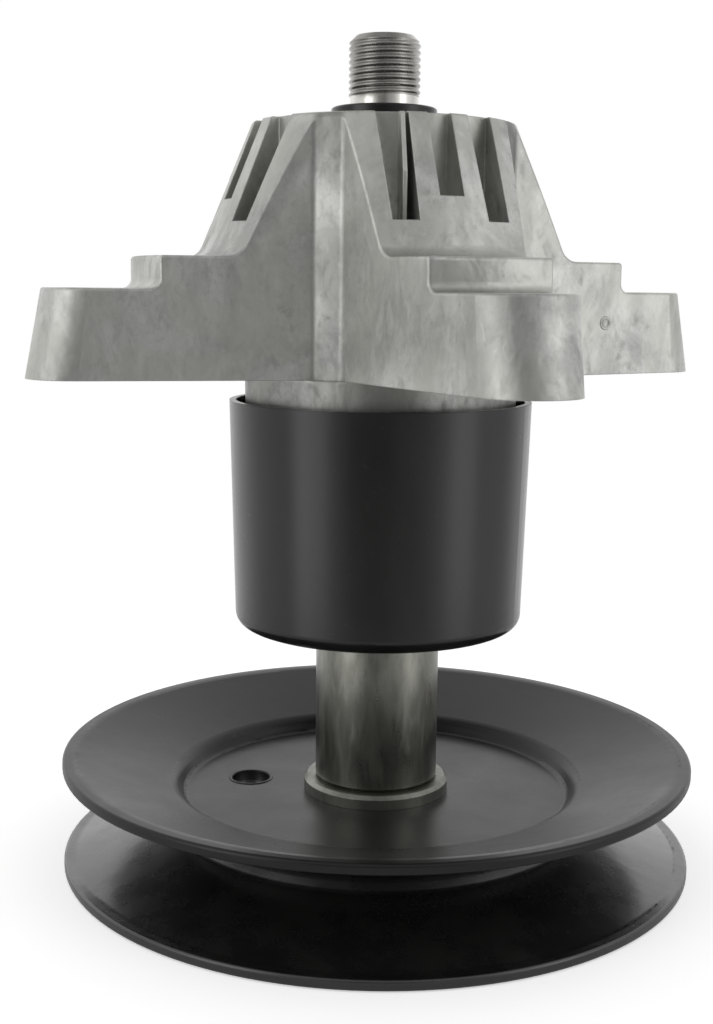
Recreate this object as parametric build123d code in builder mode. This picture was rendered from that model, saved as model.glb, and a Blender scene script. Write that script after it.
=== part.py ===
from build123d import *
import os
from math import asin, cos, degrees, radians, sin, tan

# Mower deck spindle in millimetres, standing on the rim of its belt pulley with the
# threaded blade end up. +Z is the shaft's axis, the origin is on that axis at the
# plane of the lower rim, and the housing's four arms lie on the diagonals.

os.makedirs("parts", exist_ok=True)

# Fits, all radial
SEAT = 0.02  # pressed or pushed-on seat
RUN = 0.05  # turning or rolling fit
AIR = 0.3  # face that passes a turning face

# Ball bearing, both alike
BRG_BORE_R = 10.0
BRG_RIM_R = 23.5
BRG_W = 14.0
BALL_R = 3.97
BALL_COUNT = 8
LAND = 2.35  # ring shoulder, in or out from the pitch circle
RING_CHAMFER = 0.8
CAGE_T = 1.2
CAGE_BAND = 0.8  # cage left above and below a ball
SEAL_T = 0.8
SEAL_INSET = 0.5
SEAL_GROOVE = 0.8

# Pulley: two equal stamped sheets, back to back
PULLEY_W = 25.6
RIM_R = 73.0
LIP_W = 2.6  # flat edge of a flange
LIP_BEND_R = 3.0
SHEET = 2.4
PLATE_R = 46.4
STEP_RUN = 2.2
STEP_RISE = 3.6
BEND_R = 1.4  # inside radius of a bend
RIM_ROUND = 0.7
PULLEY_HOLE_R = 4.5
PULLEY_HOLE_AT = 30.4
PULLEY_HOLE_ANGLE = 194.0

# Pulley's hub, tube, washer and nut
HUB_FLANGE_R = 17.0
HUB_FLANGE_T = 3.2
HUB_BARREL_R = 12.6
TUBE_R = 14.3
TUBE_L = 36.9
WASHER_R = 15.5
WASHER_T = 1.4
WASHER_DISH = 0.5
NUT_AF = 24.0
NUT_H = 6.8

# Shaft
THREAD_R = 7.94
THREAD_L = 13.4
RELIEF_R = 7.1
RELIEF_L = 2.0
THREAD_CHAMFER = 1.0
FLATS_AF = 13.2
NUT_SHOW = 0.4  # thread past the nut
SEAT_RING_R = 11.75
SEAT_RING_H = 7.6

# Spacers
SPACER_R = 12.9
SPACER_L = 73.0
CUP_SPACER_R = 13.4
CUP_SPACER_L = 6.2

# Dust cup
CUP_WALL = 1.5
CUP_CORNER_R = 3.2
CUP_GAP = 1.5  # cup wall to spigot, at the spigot's end
CUP_FLARE = 1.4  # growth in radius from floor to rim
CUP_BELOW = 5.9  # rim to the underside of the arms

# Snap rings
SNAP_T = 1.75
SNAP_W = 3.3
SNAP_DEPTH = 1.2
SNAP_PLAY = 0.1
SNAP_MOUTH = 34.0  # degrees between the lugs
LUG_R = 2.6
LUG_HOLE_R = 1.2

# Housing: bearing tower and spigot
SPIGOT_WALL = 6.5
SPIGOT_L = 53.1
SPIGOT_DRAFT = 0.9  # growth in radius over the spigot
MOUTH = 1.2  # housing past a snap ring at the spigot's end
TOP_LIP = 2.1  # housing past a snap ring at the tower's top
SHOULDER = 3.0  # bearing stop, in from the seat
MOUTH_CHAMFER = 0.6
BOSS_WALL = 4.0
TOWER_RIM = 1.7  # tower's top edge past the boss
CONE_SPREAD = 12.2
CONE_FOOT_R = 4.0

# Housing: star of four arms
ARM_COUNT = 4
ARM_ANGLE = 45.0
PILOT_R = 56.0  # step that enters the deck's hole
PILOT_H = 6.8
PILOT_FOOT_R = 2.0
DECK_H = 18.8  # underside to the face that meets the deck
CORNER_W = 6.4  # strip of the tower left between two arms
CORNER_STEP = 0.5  # that strip's radius past the tower's rim
CORNER_FILLET = 2.0
CAST_R = 0.6  # rounding of the casting's outer edges
EDGE_R = 0.8

# Housing: ears
EAR_R = 80.0  # tip at the underside
EAR_W = 21.8  # at the bolt
EAR_LEAN = 3.7  # tip further in at the deck
EAR_SLANT = 1.9  # end of the flat side wall further in at the deck
BOLT_HOLE_R = 3.6

# Housing: cored pockets in the cone
POCKET_OUT = 13.0  # outer pocket's far wall from the arm's middle
POCKET_IN = 6.5  # its near wall at the boss
POCKET_SPLAY = 6.5
POCKET_FLOOR = 7.3  # floor above the arm's top
MIDDLE_FLOOR = 12.3
MIDDLE_W = 5.4
FIN_T = 0.9
FIN_R = 6.8  # fin past the boss
FIN_ANGLE = -15.4

# Housing: hollow underside
WALL = 4.5
ROOF = 5.0
RIB = 3.6
EAR_MEAT = 8.4  # metal round a bolt hole

# Places up the axis
Z_PLATES = PULLEY_W / 2
Z_HUB = Z_PLATES + SHEET
Z_TUBE = Z_HUB + HUB_FLANGE_T
Z_CUP = Z_TUBE + TUBE_L
Z_CUP_SPACER = Z_CUP + CUP_WALL
Z_LOWER_BRG = Z_CUP_SPACER + CUP_SPACER_L
Z_SPACER = Z_LOWER_BRG + BRG_W
Z_UPPER_BRG = Z_SPACER + SPACER_L
Z_SEAT_RING = Z_UPPER_BRG + BRG_W
Z_BLADE = Z_SEAT_RING + SEAT_RING_H
Z_THREAD = Z_BLADE + RELIEF_L
Z_TOP = Z_THREAD + THREAD_L
Z_UNDER = Z_PLATES - SHEET
Z_NUT = Z_UNDER - WASHER_T - WASHER_DISH
Z_FOOT = Z_NUT - NUT_H - NUT_SHOW
Z_SPIGOT = Z_LOWER_BRG - SNAP_T - SNAP_PLAY - MOUTH
Z_BASE = Z_SPIGOT + SPIGOT_L
Z_DECK = Z_BASE + DECK_H
Z_ARM = Z_DECK + PILOT_H
Z_TOWER = Z_SEAT_RING + SNAP_T + SNAP_PLAY + TOP_LIP

# Sizes that follow
PITCH_R = (BRG_BORE_R + BRG_RIM_R) / 2
SPIGOT_R = BRG_RIM_R + SPIGOT_WALL
SPIGOT_ROOT_R = SPIGOT_R + SPIGOT_DRAFT
BOSS_R = BRG_RIM_R + BOSS_WALL
TOWER_R = BOSS_R + TOWER_RIM
CONE_R = TOWER_R + CONE_SPREAD
CUP_R = SPIGOT_R + CUP_GAP + CUP_WALL
Z_CUP_RIM = Z_BASE - CUP_BELOW
SNAP_SEAT_R = BRG_RIM_R + SNAP_DEPTH
JOURNAL_FIT_R = BRG_BORE_R + SEAT
THREAD_FIT_R = THREAD_R + RUN
BOLT_R = EAR_R - EAR_W / 2
CORNER_R = TOWER_R + CORNER_STEP
ROOT_ANGLE = 180 / ARM_COUNT - degrees(asin(CORNER_W / 2 / CORNER_R))
ROOT_R = CORNER_R * cos(radians(ROOT_ANGLE))
ROOT_W = 2 * CORNER_R * sin(radians(ROOT_ANGLE))


def arm_wall(reach):
    """Distance of an arm's straight side wall from its middle line."""
    return (EAR_W + (ROOT_W - EAR_W) * (BOLT_R - reach) / (BOLT_R - ROOT_R)) / 2


# Housing casting
with BuildPart() as spindle_housing:
    # star-shaped prism from the arms' underside to the tower's top
    with BuildSketch(Plane.XY.offset(Z_BASE)) as star:
        Circle(CORNER_R)
        with PolarLocations(0, ARM_COUNT, start_angle=ARM_ANGLE):
            Polygon(
                (0, -arm_wall(0)),
                (BOLT_R, -arm_wall(BOLT_R)),
                (BOLT_R, arm_wall(BOLT_R)),
                (0, arm_wall(0)),
            )
        inner_corners = star.vertices().sort_by(SortBy.DISTANCE)[: 2 * ARM_COUNT]
        fillet(inner_corners, radius=CORNER_FILLET)
    extrude(amount=Z_TOWER - Z_BASE)

    # turned outline: deck face, step that enters the deck's hole, flat arm tops, cone to the rim
    with BuildSketch(Plane.XZ):
        with BuildLine():
            outline = FilletPolyline(
                (2 * PILOT_R, Z_DECK),
                (PILOT_R, Z_DECK),
                (PILOT_R, Z_ARM),
                (CONE_R, Z_ARM),
                (TOWER_R, Z_TOWER),
                (0, Z_TOWER),
                radius=(PILOT_FOOT_R, EDGE_R, CONE_FOOT_R, CAST_R),
            )
            Polyline(
                outline @ 1,
                (0, Z_BASE),
                (2 * PILOT_R, Z_BASE),
                outline @ 0,
            )
        make_face()
    revolve(axis=Axis.Z, mode=Mode.INTERSECT)

    # rounding along the side walls' upper edges, which run on from the step's corners
    step_corners = spindle_housing.edges().filter_by(Axis.Z).filter_by(
        lambda e: e.center().Z > Z_DECK and Vector(e.center().X, e.center().Y).length > CONE_R
    )
    fillet(step_corners, radius=CAST_R)

    # ears: their side walls carry on the arms', and the round nose leans in towards the deck
    ear_root = BOLT_R - EAR_W / 4
    with BuildPart(mode=Mode.PRIVATE) as ear:
        for height, tip, crease in (
            (Z_BASE, EAR_R, BOLT_R + EAR_SLANT),
            (Z_DECK, EAR_R - EAR_LEAN, BOLT_R),
        ):
            with BuildSketch(Plane.XY.offset(height)):
                with BuildLine():
                    nose = ThreePointArc(
                        (crease, -arm_wall(crease)), (tip, 0), (crease, arm_wall(crease))
                    )
                    Polyline(
                        nose @ 1,
                        (ear_root, arm_wall(ear_root)),
                        (ear_root, -arm_wall(ear_root)),
                        nose @ 0,
                    )
                make_face()
        loft(ruled=True)
        top_edges = ear.edges().group_by(Axis.Z)[-1].sort_by(Axis.X)[1:]
        fillet(top_edges, radius=CAST_R)
    with PolarLocations(0, ARM_COUNT, start_angle=ARM_ANGLE):
        add(ear.part)

    # spigot that holds the lower bearing
    with BuildSketch(Plane.XZ):
        Polygon(
            (0, Z_SPIGOT),
            (SPIGOT_R, Z_SPIGOT),
            (SPIGOT_ROOT_R, Z_BASE),
            (0, Z_BASE),
        )
    revolve(axis=Axis.Z)

    # outer pockets, with a thin fin in one of each pair
    def pocket_wall(sign, reach):
        return sign * (POCKET_IN + (reach - BOSS_R) * tan(radians(POCKET_SPLAY)))

    with BuildSketch(Plane.XY.offset(Z_ARM + POCKET_FLOOR)) as outer_pockets:
        with PolarLocations(0, ARM_COUNT, start_angle=ARM_ANGLE):
            for side in (-1, 1):
                Polygon(
                    (BOSS_R * 0.6, side * POCKET_OUT),
                    (PILOT_R, side * POCKET_OUT),
                    (PILOT_R, pocket_wall(side, PILOT_R)),
                    (BOSS_R * 0.6, pocket_wall(side, BOSS_R * 0.6)),
                )
        Circle(BOSS_R, mode=Mode.SUBTRACT)
        with PolarLocations(BOSS_R, ARM_COUNT, start_angle=ARM_ANGLE + FIN_ANGLE):
            Rectangle(2 * FIN_R, FIN_T, mode=Mode.SUBTRACT)
    extrude(amount=Z_TOWER - Z_ARM, mode=Mode.SUBTRACT)

    # middle pockets, straight slots
    with BuildSketch(Plane.XY.offset(Z_ARM + MIDDLE_FLOOR)):
        with PolarLocations(PILOT_R / 2, ARM_COUNT, start_angle=ARM_ANGLE):
            Rectangle(PILOT_R, MIDDLE_W)
        Circle(BOSS_R, mode=Mode.SUBTRACT)
    extrude(amount=Z_TOWER - Z_ARM, mode=Mode.SUBTRACT)

    # hollow underside: shallow out to the bolt's metal, deep under the step, split by a rib
    hollow_start = SPIGOT_ROOT_R + WALL
    HOLLOWS = (
        (BOLT_R - EAR_MEAT, DECK_H - ROOF),
        (PILOT_R - WALL, DECK_H + PILOT_H - ROOF),
    )
    for hollow_end, depth in HOLLOWS:
        with BuildSketch(Plane.XY.offset(Z_BASE)) as hollows:
            with PolarLocations(0, ARM_COUNT, start_angle=ARM_ANGLE):
                for side in (-1, 1):
                    Polygon(
                        (hollow_start, side * RIB / 2),
                        (hollow_end, side * RIB / 2),
                        (hollow_end, side * (arm_wall(hollow_end) - WALL)),
                        (hollow_start, side * (arm_wall(hollow_start) - WALL)),
                    )
            fillet(hollows.vertices(), radius=RIB / 3)
        extrude(amount=depth, mode=Mode.SUBTRACT)

    # bolt holes through the ears
    with Locations(Plane.XY.offset(Z_DECK)):
        with PolarLocations(BOLT_R, ARM_COUNT, start_angle=ARM_ANGLE):
            Hole(BOLT_HOLE_R)

    # bore: bearing seat, snap ring groove and mouth at each end
    seat_r = BRG_RIM_R + SEAT
    with BuildSketch(Plane.XZ):
        with BuildLine():
            Polyline(
                (0, Z_SPIGOT),
                (seat_r + MOUTH_CHAMFER, Z_SPIGOT),
                (seat_r, Z_SPIGOT + MOUTH_CHAMFER),
                (seat_r, Z_LOWER_BRG - SNAP_T - SNAP_PLAY),
                (SNAP_SEAT_R, Z_LOWER_BRG - SNAP_T - SNAP_PLAY),
                (SNAP_SEAT_R, Z_LOWER_BRG),
                (seat_r, Z_LOWER_BRG),
                (seat_r, Z_SPACER),
                (BRG_RIM_R - SHOULDER, Z_SPACER),
                (BRG_RIM_R - SHOULDER, Z_UPPER_BRG),
                (seat_r, Z_UPPER_BRG),
                (seat_r, Z_SEAT_RING),
                (SNAP_SEAT_R, Z_SEAT_RING),
                (SNAP_SEAT_R, Z_SEAT_RING + SNAP_T + SNAP_PLAY),
                (seat_r, Z_SEAT_RING + SNAP_T + SNAP_PLAY),
                (seat_r, Z_TOWER - MOUTH_CHAMFER),
                (seat_r + MOUTH_CHAMFER, Z_TOWER),
                (0, Z_TOWER),
                close=True,
            )
        make_face()
    revolve(axis=Axis.Z, mode=Mode.SUBTRACT)

spindle_housing.part.label = "spindle_housing"
export_step(spindle_housing.part, "parts/spindle_housing.step")


# Shaft: thread and relief for the blade, plain journal, flats and thread for the pulley
with BuildPart() as spindle_shaft:
    with BuildSketch(Plane.XZ):
        with BuildLine():
            Polyline(
                (0, Z_FOOT),
                (THREAD_R - THREAD_CHAMFER, Z_FOOT),
                (THREAD_R, Z_FOOT + THREAD_CHAMFER),
                (THREAD_R, Z_TUBE + AIR),
                (BRG_BORE_R, Z_TUBE + AIR),
                (BRG_BORE_R, Z_BLADE - AIR),
                (RELIEF_R, Z_BLADE - AIR),
                (RELIEF_R, Z_THREAD - THREAD_R + RELIEF_R),
                (THREAD_R, Z_THREAD),
                (THREAD_R, Z_TOP - THREAD_CHAMFER),
                (THREAD_R - THREAD_CHAMFER, Z_TOP),
                (0, Z_TOP),
                close=True,
            )
        make_face()
    revolve(axis=Axis.Z)
    with BuildSketch(Plane.XY.offset(Z_FOOT)):
        Circle(2 * THREAD_R)
        Rectangle(4 * THREAD_R, FLATS_AF, mode=Mode.SUBTRACT)
    extrude(amount=Z_TUBE + AIR - Z_FOOT, mode=Mode.SUBTRACT)

spindle_shaft.part.label = "spindle_shaft"
export_step(spindle_shaft.part, "parts/spindle_shaft.step")


# Plain rings round the shaft: name, foot, height, bore radius, outer radius
RINGS = (
    ("blade_seat_ring", Z_SEAT_RING, SEAT_RING_H, JOURNAL_FIT_R, SEAT_RING_R),
    ("bearing_spacer", Z_SPACER, SPACER_L, JOURNAL_FIT_R, SPACER_R),
    ("cup_spacer", Z_CUP_SPACER, CUP_SPACER_L, JOURNAL_FIT_R, CUP_SPACER_R),
    ("pulley_spacer_tube", Z_TUBE, TUBE_L, JOURNAL_FIT_R, TUBE_R),
)
for name, foot, height, bore_r, outer_r in RINGS:
    with BuildPart() as ring:
        with BuildSketch(Plane.XY.offset(foot)):
            Circle(outer_r)
            Circle(bore_r, mode=Mode.SUBTRACT)
        extrude(amount=height)
        rims = ring.edges().filter_by(GeomType.CIRCLE).filter_by(
            lambda e: e.radius > (bore_r + outer_r) / 2
        )
        chamfer(rims, length=(outer_r - bore_r) / 6)
    ring.part.label = name
    export_step(ring.part, f"parts/{name}.step")


# Dust cup: drawn sheet, floor clamped between tube and spacer
with BuildPart() as dust_cup:
    with BuildSketch(Plane.XZ):
        with BuildLine():
            outside = FilletPolyline(
                (JOURNAL_FIT_R, Z_CUP),
                (CUP_R, Z_CUP),
                (CUP_R + CUP_FLARE, Z_CUP_RIM),
                radius=CUP_CORNER_R,
            )
            inside = FilletPolyline(
                (JOURNAL_FIT_R, Z_CUP + CUP_WALL),
                (CUP_R - CUP_WALL, Z_CUP + CUP_WALL),
                (CUP_R + CUP_FLARE - CUP_WALL, Z_CUP_RIM),
                radius=CUP_CORNER_R - CUP_WALL,
            )
            Line(outside @ 0, inside @ 0)
            Line(outside @ 1, inside @ 1)
        make_face()
    revolve(axis=Axis.Z)

dust_cup.part.label = "dust_cup"
export_step(dust_cup.part, "parts/dust_cup.step")


# Pulley sheets: plate, step up to the groove's floor, flange and lip
with BuildPart() as pulley_upper_disc:
    with BuildSketch(Plane.XZ) as sheet:
        with BuildLine():
            back = FilletPolyline(
                (HUB_BARREL_R + RUN, Z_PLATES),
                (PLATE_R, Z_PLATES),
                (PLATE_R + STEP_RUN, Z_PLATES + STEP_RISE),
                (RIM_R - LIP_W, PULLEY_W - SHEET),
                (RIM_R, PULLEY_W - SHEET),
                radius=(BEND_R + SHEET, BEND_R, LIP_BEND_R),
            )
            offset(back, amount=SHEET, side=Side.LEFT, mode=Mode.ADD)
        make_face()
        fillet(sheet.vertices().group_by(Axis.X)[-1], radius=RIM_ROUND)
    revolve(axis=Axis.Z)
    with Locations(Plane.XY.offset(Z_PLATES + SHEET)):
        with PolarLocations(PULLEY_HOLE_AT, 1, start_angle=PULLEY_HOLE_ANGLE):
            Hole(PULLEY_HOLE_R)

pulley_upper_disc.part.label = "pulley_upper_disc"
export_step(pulley_upper_disc.part, "parts/pulley_upper_disc.step")

with BuildPart() as pulley_lower_disc:
    add(mirror(pulley_upper_disc.part, about=Plane.XY.offset(Z_PLATES), mode=Mode.PRIVATE))

pulley_lower_disc.part.label = "pulley_lower_disc"
export_step(pulley_lower_disc.part, "parts/pulley_lower_disc.step")


# Pulley hub: flange under the tube, barrel through both sheets, flats that drive it
with BuildPart() as pulley_hub:
    with BuildSketch(Plane.XY.offset(Z_UNDER)):
        Circle(HUB_BARREL_R)
    extrude(amount=2 * SHEET)
    with BuildSketch(Plane.XY.offset(Z_HUB)):
        Circle(HUB_FLANGE_R)
    extrude(amount=HUB_FLANGE_T)
    flange_rim = pulley_hub.edges().filter_by(GeomType.CIRCLE).group_by(Axis.Z)[-1]
    chamfer(flange_rim, length=EDGE_R)
    with BuildSketch(Plane.XY.offset(Z_UNDER)):
        Circle(THREAD_FIT_R)
        Rectangle(2 * HUB_FLANGE_R, FLATS_AF + 2 * RUN, mode=Mode.INTERSECT)
    extrude(amount=Z_TUBE - Z_UNDER, mode=Mode.SUBTRACT)

pulley_hub.part.label = "pulley_hub"
export_step(pulley_hub.part, "parts/pulley_hub.step")


# Conical spring washer under the lower sheet
with BuildPart() as pulley_washer:
    with BuildSketch(Plane.XZ):
        Polygon(
            (THREAD_FIT_R, Z_NUT),
            (WASHER_R, Z_UNDER - WASHER_T),
            (WASHER_R, Z_UNDER),
            (THREAD_FIT_R, Z_NUT + WASHER_T),
        )
    revolve(axis=Axis.Z)

pulley_washer.part.label = "pulley_washer"
export_step(pulley_washer.part, "parts/pulley_washer.step")


# Thin nut, its corners turned off on the open side
with BuildPart() as pulley_nut:
    with BuildSketch(Plane.XY.offset(Z_NUT - NUT_H)):
        RegularPolygon(NUT_AF / 2, 6, major_radius=False)
    extrude(amount=NUT_H)
    with BuildSketch(Plane.XZ):
        crown = NUT_AF / 2 - EDGE_R
        Polygon(
            (0, Z_NUT - NUT_H),
            (crown, Z_NUT - NUT_H),
            (crown + 3 * EDGE_R, Z_NUT - NUT_H + 1.7 * EDGE_R),
            (crown + 3 * EDGE_R, Z_NUT),
            (0, Z_NUT),
        )
    revolve(axis=Axis.Z, mode=Mode.INTERSECT)
    with Locations(Plane.XY.offset(Z_NUT)):
        Hole(THREAD_FIT_R)

pulley_nut.part.label = "pulley_nut"
export_step(pulley_nut.part, "parts/pulley_nut.step")


# Ball bearings, with their snap rings: name, foot, foot of the snap ring
BEARINGS = (
    ("lower", Z_LOWER_BRG, Z_LOWER_BRG - SNAP_T),
    ("upper", Z_UPPER_BRG, Z_SEAT_RING),
)
for name, foot, snap_foot in BEARINGS:
    middle = foot + BRG_W / 2
    seal_top = BRG_W / 2 - SEAL_INSET
    seal_groove_r = PITCH_R + LAND + SEAL_GROOVE

    with BuildPart() as outer_ring:
        with BuildSketch(Plane.XZ):
            with Locations(((PITCH_R + LAND + BRG_RIM_R) / 2, middle)):
                Rectangle(BRG_RIM_R - PITCH_R - LAND, BRG_W)
            for side in (-1, 1):
                with Locations((PITCH_R + LAND, middle + side * (seal_top - SEAL_T / 2))):
                    Rectangle(2 * SEAL_GROOVE, SEAL_T + 2 * SEAT, mode=Mode.SUBTRACT)
        revolve(axis=Axis.Z)
        with BuildSketch(Plane.XZ):
            with Locations((PITCH_R, middle)):
                Circle(BALL_R + RUN)
        revolve(axis=Axis.Z, mode=Mode.SUBTRACT)
        rims = outer_ring.edges().filter_by(GeomType.CIRCLE).filter_by(
            lambda e: e.radius > BRG_RIM_R - 0.01
        )
        chamfer(rims, length=RING_CHAMFER)
    outer_ring.part.label = f"{name}_bearing_outer_ring"
    export_step(outer_ring.part, f"parts/{name}_bearing_outer_ring.step")

    with BuildPart() as inner_ring:
        with BuildSketch(Plane.XZ):
            with Locations(((BRG_BORE_R + SEAT + PITCH_R - LAND) / 2, middle)):
                Rectangle(PITCH_R - LAND - BRG_BORE_R - SEAT, BRG_W)
        revolve(axis=Axis.Z)
        with BuildSketch(Plane.XZ):
            with Locations((PITCH_R, middle)):
                Circle(BALL_R + RUN)
        revolve(axis=Axis.Z, mode=Mode.SUBTRACT)
        rims = inner_ring.edges().filter_by(GeomType.CIRCLE).filter_by(
            lambda e: e.radius < BRG_BORE_R + 0.1
        )
        chamfer(rims, length=RING_CHAMFER)
    inner_ring.part.label = f"{name}_bearing_inner_ring"
    export_step(inner_ring.part, f"parts/{name}_bearing_inner_ring.step")

    with BuildPart(Plane.XY.offset(middle)) as balls:
        with PolarLocations(PITCH_R, BALL_COUNT):
            Sphere(BALL_R)
    balls.part.label = f"{name}_bearing_balls"
    export_step(balls.part, f"parts/{name}_bearing_balls.step")

    with BuildPart(Plane.XY.offset(middle)) as cage:
        Cylinder(PITCH_R + CAGE_T / 2, 2 * (BALL_R + RUN + CAGE_BAND))
        Cylinder(PITCH_R - CAGE_T / 2, BRG_W, mode=Mode.SUBTRACT)
        with PolarLocations(PITCH_R, BALL_COUNT):
            Cylinder(BALL_R + RUN, 4 * CAGE_T, rotation=(0, 90, 0), mode=Mode.SUBTRACT)
    cage.part.label = f"{name}_bearing_cage"
    export_step(cage.part, f"parts/{name}_bearing_cage.step")

    for end, side in (("bottom", -1), ("top", 1)):
        with BuildPart() as seal:
            with BuildSketch(Plane.XZ):
                inner_r = PITCH_R - LAND + AIR
                outer_r = seal_groove_r - SEAT
                with Locations(((inner_r + outer_r) / 2, middle + side * (seal_top - SEAL_T / 2))):
                    Rectangle(outer_r - inner_r, SEAL_T)
            revolve(axis=Axis.Z)
        seal.part.label = f"{name}_bearing_{end}_seal"
        export_step(seal.part, f"parts/{name}_bearing_{end}_seal.step")

    with BuildPart() as snap_ring:
        ring_out = SNAP_SEAT_R - SEAT
        ring_in = ring_out - SNAP_W
        with BuildSketch(Plane.XY.offset(snap_foot)):
            Circle(ring_out)
            Circle(ring_in, mode=Mode.SUBTRACT)
            half = radians(SNAP_MOUTH / 2)
            Polygon(
                (0, 0),
                (2 * ring_out * cos(half), -2 * ring_out * sin(half)),
                (2 * ring_out * cos(half), 2 * ring_out * sin(half)),
                mode=Mode.SUBTRACT,
            )
            lug_angle = SNAP_MOUTH / 2 + 7
            for side in (-1, 1):
                with PolarLocations(ring_in, 1, start_angle=side * lug_angle):
                    Circle(LUG_R)
                    Circle(LUG_HOLE_R, mode=Mode.SUBTRACT)
        extrude(amount=SNAP_T)
    snap_ring.part.label = f"{name}_snap_ring"
    export_step(snap_ring.part, f"parts/{name}_snap_ring.step")
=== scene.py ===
import math

import bpy
from mathutils import Matrix, Vector


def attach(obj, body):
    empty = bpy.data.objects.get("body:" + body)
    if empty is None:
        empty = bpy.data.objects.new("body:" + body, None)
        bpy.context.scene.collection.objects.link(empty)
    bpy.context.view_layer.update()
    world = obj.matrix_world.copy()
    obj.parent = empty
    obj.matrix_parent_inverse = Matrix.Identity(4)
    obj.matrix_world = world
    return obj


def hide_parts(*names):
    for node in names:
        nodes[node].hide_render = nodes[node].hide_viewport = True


# Looks of a mower deck spindle. Lengths below are in millimetres unless they say
# otherwise, and MM turns them into the frame's metres.

MM = 0.001
UP = Vector((0, 0, 1))

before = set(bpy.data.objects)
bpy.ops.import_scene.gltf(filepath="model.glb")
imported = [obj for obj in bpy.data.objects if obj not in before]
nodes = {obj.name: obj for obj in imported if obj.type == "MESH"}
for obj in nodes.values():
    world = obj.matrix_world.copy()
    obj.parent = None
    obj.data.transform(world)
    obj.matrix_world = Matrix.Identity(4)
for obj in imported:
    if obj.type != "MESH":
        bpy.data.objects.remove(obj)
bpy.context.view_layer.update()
scene = bpy.context.scene

# ---------------------------------------------------------------- camera
VIEW_TURN = math.radians(22.35)  # the photograph's own front, turned about Z in the frame
CAM_PLACE = Vector((-0.455, -331.446, 133.281)) * MM
CAM_DOWN = math.radians(8.95)
CAM_LEFT = math.radians(0.82)
CAM_ROLL = math.radians(0.61)
CAM_CLIP = (0.01, 20)  # metres
PHOTO_H = 1024
FOCAL_PX = 1450.0
SENSOR = 36.0

cam = bpy.data.objects.new("camera", bpy.data.cameras.new("camera"))
scene.collection.objects.link(cam)
scene.camera = cam
cam.data.sensor_width = SENSOR
cam.data.lens = FOCAL_PX / PHOTO_H * SENSOR
cam.data.clip_start, cam.data.clip_end = CAM_CLIP
cam.matrix_world = (
    Matrix.Rotation(VIEW_TURN, 4, "Z")
    @ Matrix.Translation(CAM_PLACE)
    @ Matrix.Rotation(CAM_LEFT, 4, "Z")
    @ Matrix.Rotation(math.pi / 2 - CAM_DOWN, 4, "X")
    @ Matrix.Rotation(CAM_ROLL, 4, "Z")
)


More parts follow.
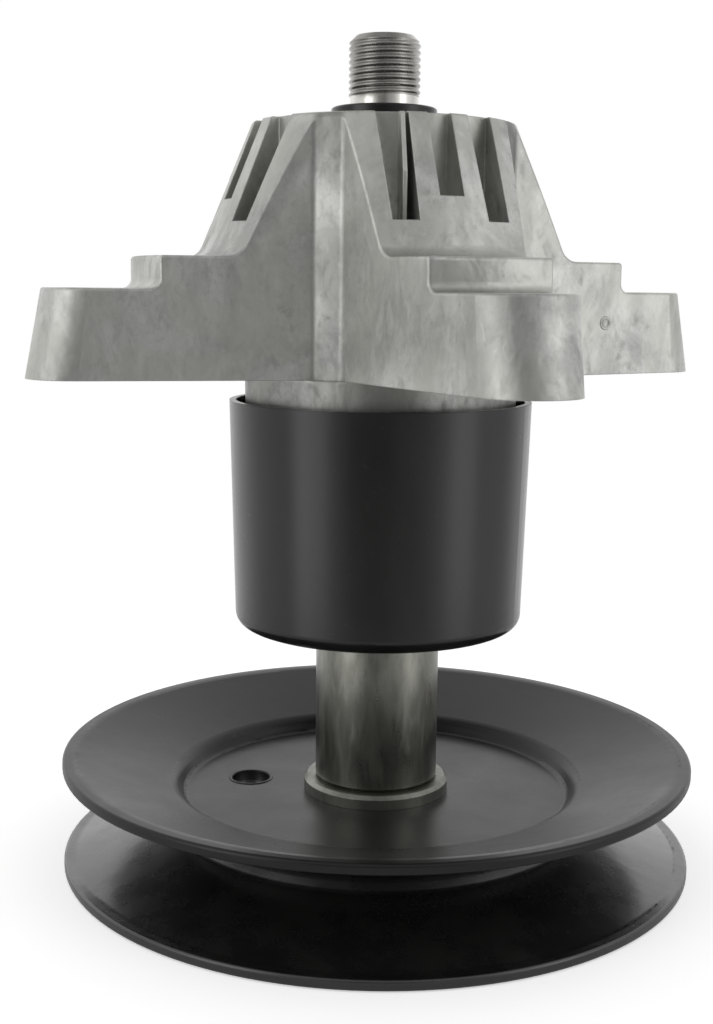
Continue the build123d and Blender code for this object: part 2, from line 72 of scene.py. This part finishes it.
# ---------------------------------------------------------------- node helpers
class Tree:
    """Short calls for one node tree. A value is a socket, or a number or colour for one."""

    MIX_FIRST, MIX_SECOND, MIX_RESULT = 6, 7, 2  # the Mix node's colour sockets

    def __init__(self, owner):
        owner.use_nodes = True
        self.tree = owner.node_tree
        self.tree.nodes.clear()
        self._place = None

    def node(self, kind, values=(), **settings):
        made = self.tree.nodes.new("ShaderNode" + kind)
        for key, value in settings.items():
            setattr(made, key, value)
        for key, value in dict(values).items():
            self.put(made.inputs[key], value)
        return made

    def put(self, socket, value):
        if isinstance(value, bpy.types.NodeSocket):
            self.tree.links.new(value, socket)
        elif socket.type == "RGBA" and len(value) == 3:
            socket.default_value = (*value, 1)
        else:
            socket.default_value = value

    def math(self, operation, *values):
        made = self.node("Math", operation=operation)
        for socket, value in zip(made.inputs, values):
            self.put(socket, value)
        return made.outputs[0]

    def place(self):
        """Object coordinates in millimetres."""
        if self._place is None:
            here = self.node("TexCoord").outputs["Object"]
            self._place = self.node(
                "VectorMath", {0: here, "Scale": 1 / MM}, operation="SCALE"
            ).outputs["Vector"]
        return self._place

    def axes(self):
        """x, y, z and the distance from the axis, in millimetres."""
        split = self.node("SeparateXYZ", {0: self.place()}).outputs
        flat = self.node("CombineXYZ", {0: split[0], 1: split[1]}).outputs[0]
        radius = self.node("VectorMath", {0: flat}, operation="LENGTH").outputs["Value"]
        return split[0], split[1], split[2], radius

    def upward(self):
        """1 on a face that looks straight up, 0 on an upright one, -1 underneath."""
        return self.node("SeparateXYZ", {0: self.node("TexCoord").outputs["Normal"]}).outputs[2]

    def noise(self, size, detail=2.0, stretch=(1, 1, 1), rough=0.5, warp=0.0):
        """Cloudy values about 0.5, with blobs size mm across, longer along a stretched axis."""
        scaled = self.node(
            "Mapping", {"Vector": self.place(), "Scale": [1 / (size * s) for s in stretch]}
        ).outputs[0]
        values = {
            "Vector": scaled,
            "Scale": 1.0,
            "Detail": detail,
            "Roughness": rough,
            "Distortion": warp,
        }
        return self.node("TexNoise", values).outputs["Fac"]

    def ramp(self, value, low, high, to_low=0.0, to_high=1.0, smooth=True):
        """Goes from to_low to to_high while the value goes from low to high."""
        values = {
            "Value": value,
            "From Min": low,
            "From Max": high,
            "To Min": to_low,
            "To Max": to_high,
        }
        kind = "SMOOTHSTEP" if smooth else "LINEAR"
        return self.node("MapRange", values, interpolation_type=kind).outputs["Result"]

    def mix(self, share, first, second):
        """A colour that has this share of the second."""
        made = self.node("Mix", {"Factor": share}, data_type="RGBA")
        self.put(made.inputs[self.MIX_FIRST], first)
        self.put(made.inputs[self.MIX_SECOND], second)
        return made.outputs[self.MIX_RESULT]

    def soft_edges(self, radius):
        """Normals that round the edges by a radius in millimetres."""
        return self.node("Bevel", {"Radius": radius * MM}, samples=4).outputs[0]

    def bump(self, height, depth, normal=None):
        """depth in millimetres is the height of a value of 1."""
        values = {"Height": height, "Distance": depth * MM, "Strength": 1.0}
        if normal is not None:
            values["Normal"] = normal
        return self.node("Bump", values).outputs[0]

    def finish(self, **values):
        """Principled surface. Keys are its socket names with _ for a space."""
        values = {key.replace("_", " "): value for key, value in values.items()}
        self.output(self.node("BsdfPrincipled", values).outputs[0])

    def output(self, shader, kind="OutputMaterial"):
        self.tree.links.new(shader, self.node(kind).inputs[0])


def material(name):
    made = bpy.data.materials.new(name)
    return made, Tree(made)


# ---------------------------------------------------------------- materials
# Parts of the casting, each with the two values in mm between which its look fades: the strips
# and the spigot take painted shade, the bore its bare turned colour.
STRIP_HALF = (2.2, 4.2)  # strips of bare tower between the arms: distance from their middle
STRIP_R = (27, 28)  # and from the axis
# the strips' painted shade is lighter between these two spans of z than above and below them
STRIP_LOW, STRIP_HIGH = (117, 137), (146, 161)  # z where they grow brighter, and duller again
STRIP_TOP = (0.5, 0.8)  # not in mm: a face that looks up by more than this is no strip
SPIGOT_R, SPIGOT_Z = (30.5, 31.5), (112.4, 113.4)
BORE_R = (24.2, 24.5)

BLADE_NECK = (171.2, 174.0)  # z of the shaft's bright neck under the blade thread
NECK_COLOUR = (0.78, 0.76, 0.72)
# painted shade: the colour that darkens steel faces that look up
TOP_SHADE = (0.02, 0.02, 0.018)
DUST = (0.2, 0.2, 0.19)


def painted_shade_share(t, x, y, z, radius):
    """Share of painted shade, as black, on the casting's strips between the arms and on its
    spigot.
    """
    across = t.math("MINIMUM", t.math("ABSOLUTE", x), t.math("ABSOLUTE", y))
    strip = t.math("MULTIPLY", t.ramp(across, *STRIP_HALF, 1, 0), t.ramp(radius, *STRIP_R))
    # painted shade deeper near the strips' top and bottom than in their middle
    middle = t.math("MULTIPLY", t.ramp(z, *STRIP_LOW), t.ramp(z, *STRIP_HIGH, 1, 0))
    strip = t.math("MULTIPLY", strip, t.ramp(middle, 0, 1, 0.46, 0.18))
    strip = t.math("MULTIPLY", strip, t.ramp(t.upward(), *STRIP_TOP, 1, 0))
    spigot = t.math("MULTIPLY", t.ramp(z, *SPIGOT_Z, 0.5, 0), t.ramp(radius, *SPIGOT_R, 1, 0))
    return t.math("MAXIMUM", strip, spigot)


def cast_aluminium():
    """Die casting: soft mottling, fine grain, slow waves, clean turned bores, and painted shade
    on the strips between the arms and on the spigot.
    """
    dark, light = (0.43, 0.43, 0.417), (0.62, 0.62, 0.6)
    stain, shine = (0.3, 0.298, 0.29), (0.72, 0.72, 0.695)
    pore, olive = (0.3, 0.3, 0.29), (0.51, 0.52, 0.47)
    bare, black = (0.72, 0.72, 0.71), (0, 0, 0)

    made, t = material("cast_aluminium")
    x, y, z, radius = t.axes()
    cloud = t.noise(15, 5, (1, 1, 1.5), 0.6, 0.9)
    fleck = t.noise(3.4, 4, (1, 1, 1.6), 0.62, 0.5)
    speckle = t.noise(1.3, 3, rough=0.6)
    grain = t.noise(0.55, 2)
    wave = t.noise(6.5, 2, (1, 1, 1.4), 0.5, 0.6)
    tint = t.noise(22, 2, warp=0.8)
    lathe = t.noise(0.35, 1, (1, 1, 0.35))
    bore = t.ramp(radius, *BORE_R, 1, 0)

    base = t.mix(t.ramp(cloud, 0.36, 0.64), dark, light)
    base = t.mix(t.ramp(fleck, 0.52, 0.7, 0, 0.45), base, stain)
    base = t.mix(t.ramp(fleck, 0.46, 0.3, 0, 0.35), base, shine)
    base = t.mix(t.ramp(speckle, 0.5, 0.72, 0, 0.28), base, pore)
    base = t.mix(t.ramp(tint, 0.4, 0.62, 0, 0.6), base, olive)
    # painted shade: black mixed into the strips between the arms and into the spigot, where
    # shade falls
    base = t.mix(painted_shade_share(t, x, y, z, radius), base, black)
    base = t.mix(bore, base, bare)

    rough = t.ramp(cloud, 0.3, 0.7, 0.5, 0.38)
    rough = t.math("ADD", rough, t.ramp(fleck, 0.5, 0.8, 0, 0.12))
    rough = t.math("MULTIPLY", rough, t.ramp(bore, 0, 1, 1, 0.6))

    normal = t.bump(wave, 0.22, t.soft_edges(0.45))
    normal = t.bump(fleck, 0.05, normal)
    normal = t.bump(t.math("ADD", grain, t.math("MULTIPLY", lathe, bore)), 0.012, normal)
    t.finish(Base_Color=base, Metallic=1.0, Roughness=rough, Normal=normal)
    return made


def steel(name, dark, light, gloss, lathe=0.0, streak=0.0, film=0.0, clean=None, top=0.0):
    """Bare or oiled steel. gloss: least and most roughness; lathe: depth of the turning
    lines; streak: smears along Z; film: share of an oily skin; clean: a span of z left
    bright; top: share of painted shade that darkens faces that look up."""
    made, t = material(name)
    z, radius = t.axes()[2:]
    cloud = t.noise(6, 4, (1, 1, 2.5), 0.6)
    fine = t.noise(0.9, 3, (1, 1, 1.0 + 3 * streak))
    base = t.mix(t.ramp(cloud, 0.32, 0.68), dark, light)
    base = t.mix(t.ramp(fine, 0.5, 0.8, 0, 0.3), base, tuple(0.6 * c for c in dark))
    rough = t.ramp(cloud, 0.3, 0.7, gloss[1], gloss[0])
    if streak:
        smear = t.noise(3.2, 3, (1, 1, 5 * streak), 0.6, 0.6)
        base = t.mix(t.ramp(smear, 0.44, 0.7, 0, 0.34), base, tuple(1.45 * c for c in light))
        rough = t.math("ADD", rough, t.ramp(smear, 0.4, 0.7, 0, 0.08))
    if clean:
        low, high = ((edge - 0.1, edge + 0.1) for edge in clean)
        inside = t.math("MULTIPLY", t.ramp(z, *low), t.ramp(z, *high, 1, 0))
        base = t.mix(inside, base, NECK_COLOUR)
        rough = t.math("MULTIPLY", rough, t.ramp(inside, 0, 1, 1, 0.6))
    # painted shade on faces that look up, deeper the more squarely they face up
    if top:
        base = t.mix(t.ramp(t.upward(), 0.5, 0.95, 0, top), base, TOP_SHADE)
    normal = t.bump(fine, 0.008, t.soft_edges(0.25))
    if lathe:
        spread = {0: t.math("MULTIPLY", radius, 1.4), 1: t.math("MULTIPLY", z, 1.4)}
        ring = t.node("CombineXYZ", spread).outputs[0]
        lines = t.node("TexNoise", {"Vector": ring, "Scale": 3.0, "Detail": 2.0}).outputs["Fac"]
        normal = t.bump(lines, lathe, normal)
    t.finish(
        Base_Color=base,
        Metallic=1.0,
        Roughness=rough,
        Normal=normal,
        Coat_Weight=film,
        Coat_Roughness=0.3,
    )
    return made


def black_coat(name, dark, light, gloss, peel, dust=0.0, along=(1, 1, 1), level=0.5, coat=0.0):
    """Black paint over sheet: orange peel, faint dust, uneven gloss. gloss: least and most
    roughness; peel: depth of the skin's waves; along: the way the mottling is drawn out;
    level: how much it reflects; coat: share of a clear coat."""
    made, t = material(name)
    cloud = t.noise(14, 4, along, 0.6)
    speck = t.noise(1.1, 3, rough=0.6)
    skin = t.noise(0.8, 2)
    base = t.mix(t.ramp(cloud, 0.35, 0.65), dark, light)
    base = t.mix(t.ramp(speck, 0.62, 0.8, 0, dust), base, DUST)
    rough = t.ramp(cloud, 0.3, 0.7, *gloss)
    rough = t.math("ADD", rough, t.ramp(speck, 0.5, 0.8, 0, 0.04))
    normal = t.bump(t.noise(5, 1), peel * 6, t.soft_edges(0.3))
    normal = t.bump(skin, peel, normal)
    t.finish(
        Base_Color=base,
        Roughness=rough,
        Normal=normal,
        Specular_IOR_Level=level,
        Coat_Weight=coat,
        Coat_Roughness=0.22,
        Coat_Normal=normal,
    )
    return made


def rubber():
    """Matte black seals."""
    made, t = material("seal_rubber")
    cloud = t.noise(4, 3)
    base = t.mix(t.ramp(cloud, 0.3, 0.7), (0.012, 0.012, 0.012), (0.03, 0.03, 0.029))
    normal = t.bump(t.noise(0.25, 2), 0.01)
    t.finish(Base_Color=base, Roughness=t.ramp(cloud, 0.3, 0.7, 0.5, 0.65), Normal=normal)
    return made


ALUMINIUM = cast_aluminium()
SHAFT = steel(
    "turned_steel",
    (0.3, 0.29, 0.275), (0.44, 0.43, 0.41), (0.2, 0.32),
    lathe=0.01, clean=BLADE_NECK,
)
TUBE = steel(
    "tube_steel",
    (0.21, 0.21, 0.184), (0.33, 0.33, 0.292), (0.26, 0.36),
    lathe=0.006, streak=1.0, film=0.4,
)
# the hub's faces that look up take painted shade (top)
HUB = steel(
    "hub_steel",
    (0.25, 0.25, 0.222), (0.36, 0.36, 0.324), (0.34, 0.46),
    lathe=0.006, film=0.2, top=0.32,
)
ZINC = steel("zinc_steel", (0.5, 0.5, 0.48), (0.66, 0.66, 0.64), (0.28, 0.4))
BEARING = steel(
    "bearing_steel",
    (0.5, 0.5, 0.5), (0.62, 0.62, 0.63), (0.14, 0.24),
    lathe=0.003,
)
CHROME = steel("ball_chrome", (0.66, 0.66, 0.67), (0.74, 0.74, 0.75), (0.06, 0.12))
CAGE = steel("cage_steel", (0.42, 0.41, 0.38), (0.56, 0.55, 0.52), (0.3, 0.42))
SPRING = steel("spring_steel", (0.05, 0.05, 0.048), (0.1, 0.1, 0.095), (0.34, 0.5))
WASHER = steel("black_steel", (0.06, 0.06, 0.058), (0.11, 0.11, 0.105), (0.34, 0.5))
CUP = black_coat(
    "cup_black",
    (0.009, 0.009, 0.009), (0.013, 0.013, 0.0125), (0.2, 0.25),
    peel=0.003, dust=0.05, along=(1, 1, 3),
)
PULLEY = black_coat(
    "pulley_black",
    (0.0045, 0.0045, 0.0047), (0.0065, 0.0065, 0.0067), (0.27, 0.33),
    peel=0.005, level=0.4,
)
FLANGE = black_coat(
    "flange_black",
    (0.008, 0.008, 0.008), (0.013, 0.013, 0.0125), (0.2, 0.34),
    peel=0.008, level=0.7, coat=0.6,
)
RING = black_coat(
    "black_ring",
    (0.004, 0.004, 0.004), (0.008, 0.008, 0.008), (0.16, 0.24),
    peel=0.002,
)
RUBBER = rubber()

BEARINGS = ("lower", "upper")
FINISH = {
    ALUMINIUM: ["spindle_housing"],
    SHAFT: ["spindle_shaft"],
    RING: ["blade_seat_ring"],
    CUP: ["dust_cup"],
    TUBE: ["pulley_spacer_tube", "cup_spacer", "bearing_spacer"],
    HUB: ["pulley_hub"],
    PULLEY: ["pulley_upper_disc"],
    FLANGE: ["pulley_lower_disc"],
    WASHER: ["pulley_washer"],
    ZINC: ["pulley_nut"],
    BEARING: [f"{b}_bearing_{ring}_ring" for b in BEARINGS for ring in ("outer", "inner")],
    CHROME: [f"{b}_bearing_balls" for b in BEARINGS],
    CAGE: [f"{b}_bearing_cage" for b in BEARINGS],
    RUBBER: [f"{b}_bearing_{side}_seal" for b in BEARINGS for side in ("bottom", "top")],
    SPRING: [f"{b}_snap_ring" for b in BEARINGS],
}


def wear(obj, look):
    """Give an object this material alone."""
    obj.data.materials.clear()
    obj.data.materials.append(look)


for look, names in FINISH.items():
    for name in names:
        wear(nodes[name], look)


# ---------------------------------------------------------------- pieces
def piece(name, points, faces, look, body, sharp=35):
    """A mesh from points in mm, riding on a body. sharp: degrees at which an edge shows."""
    mesh = bpy.data.meshes.new(name)
    mesh.from_pydata([[c * MM for c in p] for p in points], [], faces)
    mesh.validate()
    mesh.shade_smooth()
    mesh.set_sharp_from_angle(angle=math.radians(sharp))
    made = bpy.data.objects.new(name, mesh)
    scene.collection.objects.link(made)
    wear(made, look)
    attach(made, body)
    return made


def full_turn(count):
    """Evenly spread angles."""
    return [2 * math.pi * k / count for k in range(count)]


# shaft with real threads: a plain profile with the two threads cut into it
SEGMENTS = 96
Z_FOOT, Z_JOURNAL, Z_RELIEF, Z_THREAD, Z_TOP = 1.3, 18.7, 171.3, 174.2, 187.0
JOURNAL_R, JOURNAL_CHAMFER, JOURNAL_ROWS = 10.0, 0.3, 12
RELIEF_R = 7.6
FLATS = 6.6  # from the axis to each of the two flats of the lower thread
PITCH = 25.4 / 18
THREAD_R = 7.94
THREAD_DEPTH = 0.42
THREAD_END = 1.5  # chamfer at the shaft's two ends
THREAD_ROWS = 14  # rows of points in one turn of thread
THREAD_FIRST, THREAD_LAST = 0.25, 0.04  # gap of the first row from the foot, least at the top
CREST, FLANK = 0.86, 0.74  # where the flank begins, and its length, in half pitches
RUN_IN, RUN_OUT = 0.5, 0.35  # lengths over which the cut deepens and fades
LOWER_CUT = (Z_FOOT - 0.6, Z_JOURNAL)
UPPER_CUT = (Z_THREAD - 0.3, Z_TOP + 0.6)


def thread_cut(z, angle, first, last):
    """Depth of a 60 degree thread at this point, run out at both ends."""
    phase = (z / PITCH - angle / (2 * math.pi)) % 1.0
    ridge = abs(2 * phase - 1)  # 1 at the crest, 0 at the root
    cut = min(1.0, max(0.0, (CREST - ridge) / FLANK))
    ease = max(0.0, min(1.0, (z - first) / RUN_IN, (last - z) / RUN_OUT))
    return THREAD_DEPTH * cut * ease


def shaft_rows():
    """(z, plain radius, threaded, flats) from the foot to the top."""
    step = PITCH / THREAD_ROWS
    end_r = THREAD_R - THREAD_END
    rows = [(Z_FOOT, end_r, False, True)]
    z = Z_FOOT + THREAD_FIRST
    while z < Z_JOURNAL:
        rows.append((z, min(THREAD_R, end_r + z - Z_FOOT), True, True))
        z += step
    rows += [(Z_JOURNAL, THREAD_R, False, True), (Z_JOURNAL, JOURNAL_R, False, False)]
    for k in range(1, JOURNAL_ROWS):
        z = Z_JOURNAL + k * (Z_RELIEF - Z_JOURNAL) / JOURNAL_ROWS
        rows.append((z, JOURNAL_R, False, False))
    rows += [
        (Z_RELIEF - JOURNAL_CHAMFER, JOURNAL_R, False, False),
        (Z_RELIEF, JOURNAL_R - JOURNAL_CHAMFER, False, False),
        (Z_RELIEF, RELIEF_R, False, False),
        (Z_THREAD - THREAD_R + RELIEF_R, RELIEF_R, False, False),
    ]
    z = Z_THREAD
    while z < Z_TOP - THREAD_LAST:
        rows.append((z, min(THREAD_R, end_r + Z_TOP - z), True, False))
        z += step
    rows.append((Z_TOP, end_r, False, False))
    return rows


def threaded_shaft():
    points, faces = [], []
    rows = shaft_rows()
    for z, plain, threaded, flat in rows:
        span = LOWER_CUT if z < Z_JOURNAL else UPPER_CUT
        for angle in full_turn(SEGMENTS):
            r = min(plain, THREAD_R - thread_cut(z, angle, *span)) if threaded else plain
            x, y = r * math.cos(angle), r * math.sin(angle)
            if flat:
                y = max(-FLATS, min(FLATS, y))
            points.append((x, y, z))
    for j in range(len(rows) - 1):
        low, high = j * SEGMENTS, (j + 1) * SEGMENTS
        for k in range(SEGMENTS):
            n = (k + 1) % SEGMENTS
            faces.append((low + k, low + n, high + n, high + k))
    faces.append(tuple(range(SEGMENTS - 1, -1, -1)))
    top = (len(rows) - 1) * SEGMENTS
    faces.append(tuple(top + k for k in range(SEGMENTS)))
    made = piece("threaded_shaft", points, faces, SHAFT, "rotor", sharp=50)
    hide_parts("spindle_shaft")


FOOT = -0.1  # how far the small rings below are sunk into their seats


def small_ring(name, place, way, profile, look, body, slot, count=48):
    """A closed profile of (radius, height), turned about the direction way."""
    turn = UP.rotation_difference(way).to_matrix()
    points, faces = [], []
    size = len(profile)
    for k, angle in enumerate(full_turn(count)):
        cos, sin = math.cos(angle), math.sin(angle)
        points += [Vector(place) + turn @ Vector((r * cos, r * sin, h)) for r, h in profile]
        n = (k + 1) % count
        for j in range(size):
            i = (j + 1) % size
            faces.append((k * size + j, n * size + j, n * size + i, k * size + i))
    return piece(name, points, faces, look, body)


def seat(node, start, way):
    """Where a straight line first meets a node, in mm, and the way its face looks."""
    hit, place, normal, _ = nodes[node].ray_cast(Vector(start) * MM, Vector(way))
    assert hit, node
    return place / MM, normal


def bead(radius, half, height):
    """Round-backed profile about this radius. half: half its width."""
    arc = [math.pi * k / 6 for k in range(7)]
    back = [(radius + half * math.cos(a), height * math.sin(a)) for a in arc]
    return [(radius + half, FOOT), *back, (radius - half, FOOT)]


def spoke(degrees):
    """A level direction, from X."""
    return Vector((math.cos(math.radians(degrees)), math.sin(math.radians(degrees)), 0))


HOLE_REACH, HOLE_TURN = 30.4, 194  # the disc's hole: distance from the axis, and degrees
HOLE_BESIDE = 5.5  # from the hole's middle to the sheet beside it
HOLE_RIM = bead(4.95, 0.4, 0.22)
ABOVE_PULLEY = 40  # z at which the search for the sheet starts


def hole_rim():
    """Punched rim round the upper disc's hole."""
    hole = HOLE_REACH * spoke(HOLE_TURN)
    start = hole + Vector((HOLE_BESIDE, 0, ABOVE_PULLEY))
    sheet = seat("pulley_upper_disc", start, -UP)[0]
    place = (hole.x, hole.y, sheet.z)
    small_ring("hole_rim", place, UP, HOLE_RIM, PULLEY, "rotor", "pulley_black")


# profile of a mark: a flat disc in a raised ring
MARK = [(0.05, FOOT), (0.05, 0.04), (1.05, 0.04), (1.25, 0.16), (1.5, 0.16), (1.7, FOOT)]
MARK_ARMS = (45, 225)  # degrees
MARK_REACH, MARK_Z = 50, 124.9
BESIDE_ARM = 40  # how far off the search for the wall starts


def ejector_marks():
    """Ejector marks on the side walls of two arms."""
    for number, degrees in enumerate(MARK_ARMS, 1):
        along = spoke(degrees)
        beside = Vector((along.y, -along.x, 0))
        start = MARK_REACH * along + BESIDE_ARM * beside + MARK_Z * UP
        wall = seat("spindle_housing", start, -beside)
        small_ring(
            f"ejector_mark_{number}", *wall, MARK, ALUMINIUM, "housing", "cast_aluminium", 32
        )


RIBS = ((16.4, 0.35), (18.6, 0.5))  # radius and half the width
RIB_HEIGHT = 0.18
SEAL_R = 18  # where a seal's flat face is sought
MIDDLE_Z, BEYOND = 120, 80  # a height between the bearings, and how far off the search starts


def seal_ribs():
    """Moulded ribs of the two outer seals."""
    for bearing, side, up in (("upper", "top", 1), ("lower", "bottom", -1)):
        seal = f"{bearing}_bearing_{side}_seal"
        face = seat(seal, (SEAL_R, 0, MIDDLE_Z + BEYOND * up), -up * UP)[0]
        for number, (radius, half) in enumerate(RIBS, 1):
            small_ring(
                f"{seal}_rib_{number}", (0, 0, face.z), up * UP, bead(radius, half, RIB_HEIGHT),
                RUBBER, "housing", "seal_rubber", 96,
            )


threaded_shaft()
hole_rim()
ejector_marks()
seal_ribs()

# ---------------------------------------------------------------- floor and world
FLOOR_R, FLOOR_Z = 0.42, -0.0002  # metres
FLOOR_SIDES = 96
FLOOR_FADE = (110, 330)  # radius over which the floor fades into the backdrop
UNDER_PULLEY = (58, 64)  # radius over which the opening under the pulley ends


def floor():
    points = [
        (FLOOR_R * math.cos(angle), FLOOR_R * math.sin(angle), 0)
        for angle in full_turn(FLOOR_SIDES)
    ]
    mesh = bpy.data.meshes.new("floor")
    mesh.from_pydata(points, [], [tuple(range(FLOOR_SIDES))])
    made = bpy.data.objects.new("floor", mesh)
    made.location.z = FLOOR_Z
    scene.collection.objects.link(made)
    look, t = material("floor")
    radius = t.axes()[3]
    to_camera = t.node("LightPath").outputs["Is Camera Ray"]
    # open to light under the pulley, so that its hollow is lit in a view from below
    under = t.ramp(radius, *UNDER_PULLEY, 1, 0)
    lit_through = t.math("MULTIPLY", under, t.math("SUBTRACT", 1.0, to_camera))
    gone = t.math("MAXIMUM", t.ramp(radius, *FLOOR_FADE), lit_through)
    plain = t.node("BsdfDiffuse", {"Color": (0.9, 0.9, 0.9)}).outputs[0]
    strength = t.ramp(under, 0, 1, 0.5, 0)
    glow = t.node("Emission", {"Color": (1, 1, 1), "Strength": strength}).outputs[0]
    seen = t.node("AddShader", {0: plain, 1: glow}).outputs[0]
    near = t.node("MixShader", {0: to_camera, 1: plain, 2: seen}).outputs[0]
    clear = t.node("BsdfTransparent").outputs[0]
    faded = t.node("MixShader", {0: gone, 1: near, 2: clear}).outputs[0]
    behind = t.node("NewGeometry").outputs["Backfacing"]
    t.output(t.node("MixShader", {0: behind, 1: faded, 2: clear}).outputs[0])
    wear(made, look)


# brightness round the horizon: degrees to the right of the camera's side, and level
HORIZON = (
    (-180, 1.0), (-150, 1.0), (-130, 1.0), (-100, 0.78), (-74, 0.78), (-60, 1.95), (-46, 1.6),
    (-32, 0.55), (-18, 0.2), (0, 0.15), (20, 0.32), (34, 0.44), (48, 0.8), (60, 1.7), (70, 1.6),
    (84, 0.85), (110, 0.65), (130, 0.8), (150, 1.0), (180, 1.0),
)
# brightness above it, and the heights on a sphere of radius 1 between which each begins
CEILING, CEILING_Z = 0.75, (0.5, 0.75)
ZENITH, ZENITH_Z = 0.34, (0.84, 0.94)
BACKDROP_Y = (0.86, 0.94)  # the patch straight behind that metal mirrors as white


def studio():
    """White backdrop behind the object, a soft box at each side of a dark camera side."""
    world = bpy.data.worlds.new("studio")
    scene.world = world
    t = Tree(world)
    facing = {
        "Vector": t.node("TexCoord").outputs["Generated"],
        "Axis": (0, 0, 1),
        "Angle": -VIEW_TURN,
    }
    ray = t.node("VectorRotate", facing, rotation_type="AXIS_ANGLE").outputs[0]
    x, y, z = t.node("SeparateXYZ", {0: ray}).outputs
    angle = t.math("ARCTAN2", x, t.math("MULTIPLY", y, -1.0))
    side = t.node("ValToRGB", {"Fac": t.ramp(angle, -math.pi, math.pi, smooth=False)})
    bar = side.color_ramp
    bar.interpolation = "EASE"
    for degrees, _ in HORIZON[1:-1]:
        bar.elements.new((degrees + 180) / 360)
    for element, (degrees, level) in zip(bar.elements, HORIZON):
        element.position = (degrees + 180) / 360
        element.color = (level, level, level, 1)
    light = t.mix(t.ramp(z, *CEILING_Z), side.outputs[0], (CEILING,) * 3)
    light = t.mix(t.ramp(z, *ZENITH_Z), light, (ZENITH,) * 3)
    white = t.node("Background", {"Color": (1, 1, 1), "Strength": 1.0}).outputs[0]
    lit = t.node("Background", {"Color": light, "Strength": 1.0}).outputs[0]
    path = t.node("LightPath").outputs
    mirrored = t.math("MAXIMUM", path["Is Glossy Ray"], path["Is Transmission Ray"])
    backdrop = t.math("MULTIPLY", t.ramp(y, *BACKDROP_Y), mirrored)
    seen = t.math("MAXIMUM", path["Is Camera Ray"], backdrop)
    t.output(t.node("MixShader", {0: seen, 1: lit, 2: white}).outputs[0], "OutputWorld")


floor()
studio()
scene.view_settings.view_transform = "Standard"
